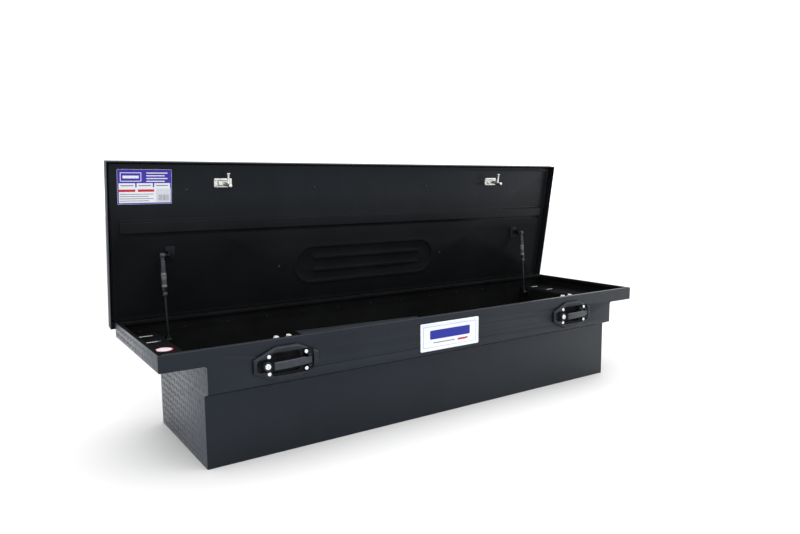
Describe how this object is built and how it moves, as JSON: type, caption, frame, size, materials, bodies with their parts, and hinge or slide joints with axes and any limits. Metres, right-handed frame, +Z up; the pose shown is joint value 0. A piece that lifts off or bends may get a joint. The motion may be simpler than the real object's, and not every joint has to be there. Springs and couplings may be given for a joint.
{
  "type": "truck tool box",
  "caption": "Low-profile crossover tool box for a pickup bed: stepped tub on two saddle wings, lid held open by gas springs, pull handles with rotary latches.",
  "frame": {"origin": "middle of the tub's underside, below the middle of the top opening", "axes": "+X along the box to the right seen from the front, -Y out of the front wall, +Z up"},
  "size_m": [1.774, 0.5424, 0.7911],
  "materials": {
    "powder_coat": "matte",
    "tread_plate": "satin",
    "hinge_metal": "satin",
    "zinc_steel": "satin",
    "chrome": "polished",
    "rod_steel": "polished",
    "handle_black": "satin",
    "strut_paint": "satin",
    "black_plastic": "matte",
    "seal_rubber": "matte",
    "core_foam": "matte",
    "nameplate_metal": "satin",
    "label_film": "satin"
  },
  "bodies": {
    "box": {"front_panel": "powder_coat", "rear_panel": "powder_coat", "floor_panel": "powder_coat", "left_end_panel": "tread_plate", "right_end_panel": "tread_plate", "front_rim_stiffener": "powder_coat", "hinge_body_leaf": "hinge_metal", "hinge_pin": "zinc_steel", "hinge_body_rivets": "hinge_metal", "nameplate": "nameplate_metal", "left_handle_housing": "handle_black", "right_handle_housing": "handle_black", "handle_gaskets": "seal_rubber", "handle_backplates": "zinc_steel", "handle_screws": "chrome", "handle_pivot_pins": "rod_steel", "handle_springs": "rod_steel", "left_latch_housing": "zinc_steel", "right_latch_housing": "zinc_steel", "latch_pivot_pins": "zinc_steel", "latch_springs": "zinc_steel", "latch_studs": "zinc_steel", "left_strut_foot": "zinc_steel", "right_strut_foot": "zinc_steel"},
    "lid": {"lid_skin": "powder_coat", "lid_pan": "powder_coat", "lid_core": "core_foam", "lid_channel": "powder_coat", "lid_seal": "seal_rubber", "hinge_lid_leaf": "hinge_metal", "hinge_lid_rivets": "hinge_metal", "product_label": "label_film", "left_striker": "zinc_steel", "right_striker": "zinc_steel", "striker_screws": "zinc_steel", "left_strut_head": "strut_paint", "right_strut_head": "strut_paint"},
    "left_strut_rod": {"left_strut_rod": "rod_steel", "left_strut_lower_socket": "black_plastic"},
    "left_strut_cylinder": {"left_strut_cylinder": "strut_paint", "left_strut_upper_socket": "black_plastic"},
    "left_grip": {"left_handle_grip": "handle_black"},
    "left_release_bar": {"left_release_bar": "zinc_steel"},
    "left_lock": {"left_lock_cylinder": "chrome", "left_lock_cam": "zinc_steel"},
    "left_outer_jaw": {"left_latch_outer_jaw": "zinc_steel"},
    "left_inner_jaw": {"left_latch_inner_jaw": "zinc_steel"},
    "right_strut_rod": {"right_strut_rod": "rod_steel", "right_strut_lower_socket": "black_plastic"},
    "right_strut_cylinder": {"right_strut_cylinder": "strut_paint", "right_strut_upper_socket": "black_plastic"},
    "right_grip": {"right_handle_grip": "handle_black"},
    "right_release_bar": {"right_release_bar": "zinc_steel"},
    "right_lock": {"right_lock_cylinder": "chrome", "right_lock_cam": "zinc_steel"},
    "right_outer_jaw": {"right_latch_outer_jaw": "zinc_steel"},
    "right_inner_jaw": {"right_latch_inner_jaw": "zinc_steel"}
  },
  "joints": [
    {"name": "lid_hinge", "type": "hinge", "parent": "box", "child": "lid", "pos_m": [0, 0.2466, 0.3007], "axis": [1, 0, 0], "range_deg": [0, 81.1], "stiffness_Nm_per_rad": 6, "springref_deg": -68.75},
    {"name": "left_strut_turn", "type": "hinge", "parent": "box", "child": "left_strut_rod", "pos_m": [-0.738, 0.18983, 0.2598], "axis": [1, 0, 0], "range_deg": [0, 80.75]},
    {"name": "left_strut_stroke", "type": "slide", "parent": "left_strut_rod", "child": "left_strut_cylinder", "axis": [0, -0.0958, -0.9954], "range_m": [0, 0.0912]},
    {"name": "left_grip_pull", "type": "hinge", "parent": "box", "child": "left_grip", "pos_m": [-0.487, -0.2445, 0.2565], "axis": [0, 0, 1], "range_deg": [0, 24], "stiffness_Nm_per_rad": 1, "springref_deg": -5.73},
    {"name": "left_release_slide", "type": "slide", "parent": "box", "child": "left_release_bar", "axis": [-1, 0, 0], "range_m": [0, 0.0121]},
    {"name": "left_lock_turn", "type": "hinge", "parent": "box", "child": "left_lock", "pos_m": [-0.609, -0.2345, 0.2565], "axis": [0, 1, 0], "range_deg": [0, 90]},
    {"name": "left_outer_jaw_turn", "type": "hinge", "parent": "box", "child": "left_outer_jaw", "pos_m": [-0.562, -0.207, 0.266], "axis": [0, 1, 0], "range_deg": [0, 35], "stiffness_Nm_per_rad": 0.05, "springref_deg": -17.19},
    {"name": "left_inner_jaw_turn", "type": "hinge", "parent": "box", "child": "left_inner_jaw", "pos_m": [-0.53, -0.207, 0.266], "axis": [0, 1, 0], "range_deg": [-35.1, 0]},
    {"name": "right_strut_turn", "type": "hinge", "parent": "box", "child": "right_strut_rod", "pos_m": [0.738, 0.18983, 0.2598], "axis": [1, 0, 0], "range_deg": [0, 80.75]},
    {"name": "right_strut_stroke", "type": "slide", "parent": "right_strut_rod", "child": "right_strut_cylinder", "axis": [0, -0.0958, -0.9954], "range_m": [0, 0.0912]},
    {"name": "right_grip_pull", "type": "hinge", "parent": "box", "child": "right_grip", "pos_m": [0.611, -0.2445, 0.2565], "axis": [0, 0, 1], "range_deg": [0, 24], "stiffness_Nm_per_rad": 1, "springref_deg": -5.73},
    {"name": "right_release_slide", "type": "slide", "parent": "box", "child": "right_release_bar", "axis": [-1, 0, 0], "range_m": [0, 0.0121]},
    {"name": "right_lock_turn", "type": "hinge", "parent": "box", "child": "right_lock", "pos_m": [0.489, -0.2345, 0.2565], "axis": [0, 1, 0], "range_deg": [0, 90]},
    {"name": "right_outer_jaw_turn", "type": "hinge", "parent": "box", "child": "right_outer_jaw", "pos_m": [0.536, -0.207, 0.266], "axis": [0, 1, 0], "range_deg": [0, 35], "stiffness_Nm_per_rad": 0.05, "springref_deg": -17.19},
    {"name": "right_inner_jaw_turn", "type": "hinge", "parent": "box", "child": "right_inner_jaw", "pos_m": [0.568, -0.207, 0.266], "axis": [0, 1, 0], "range_deg": [-35.1, 0]}
  ],
  "couplings": [
    {"joint": "left_strut_turn", "follows": "lid_hinge", "ratio": 0.99507},
    {"joint": "left_strut_stroke", "follows": "lid_hinge", "m_per_rad": 0.064265},
    {"joint": "left_release_slide", "follows": "left_grip_pull", "m_per_rad": 0.028648},
    {"joint": "left_inner_jaw_turn", "follows": "left_outer_jaw_turn", "ratio": -1},
    {"joint": "right_strut_turn", "follows": "lid_hinge", "ratio": 0.99507},
    {"joint": "right_strut_stroke", "follows": "lid_hinge", "m_per_rad": 0.064265},
    {"joint": "right_release_slide", "follows": "right_grip_pull", "m_per_rad": 0.028648},
    {"joint": "right_inner_jaw_turn", "follows": "right_outer_jaw_turn", "ratio": -1}
  ]
}
